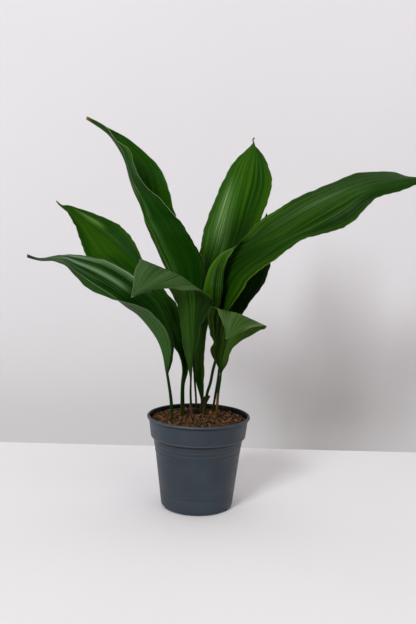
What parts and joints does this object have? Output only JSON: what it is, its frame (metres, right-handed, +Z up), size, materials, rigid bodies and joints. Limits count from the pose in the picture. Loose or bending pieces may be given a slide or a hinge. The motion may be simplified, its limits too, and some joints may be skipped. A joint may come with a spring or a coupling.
{
  "type": "potted cast iron plant",
  "caption": "Cast iron plant with broad arching evergreen leaves on slim stalks, in a round nursery pot of soil.",
  "frame": {"origin": "centre of the pot's base, on the surface the pot stands on", "axes": "+Z up along the pot's axis; -Y towards the plant's front, which the folded leaves hang over; +X to the right as seen from the front, towards the long arching leaf"},
  "size_m": [0.493, 0.2303, 0.5141],
  "materials": {
    "pot_plastic": "matte moulded slate-grey plastic with a faint sheen on the rim",
    "soil": "loose brown coir and peat crumbs",
    "leaf": "smooth leathery green blade with fine parallel veins and a soft gloss",
    "rhizome": "dull tan skin, ringed",
    "dried_scale": "dry papery brown"
  },
  "bodies": {
    "root": {"pot": "pot_plastic", "soil": "soil", "rhizome": "rhizome", "leaf_back_tall": "leaf", "leaf_left_tall": "leaf", "leaf_left_back": "leaf", "leaf_left_front": "leaf", "leaf_front_folded": "leaf", "leaf_right_folded": "leaf", "leaf_right_long": "leaf", "leaf_right_back": "leaf", "scale_middle": "dried_scale", "scale_right": "dried_scale", "scale_front": "dried_scale"}
  },
  "joints": []
}
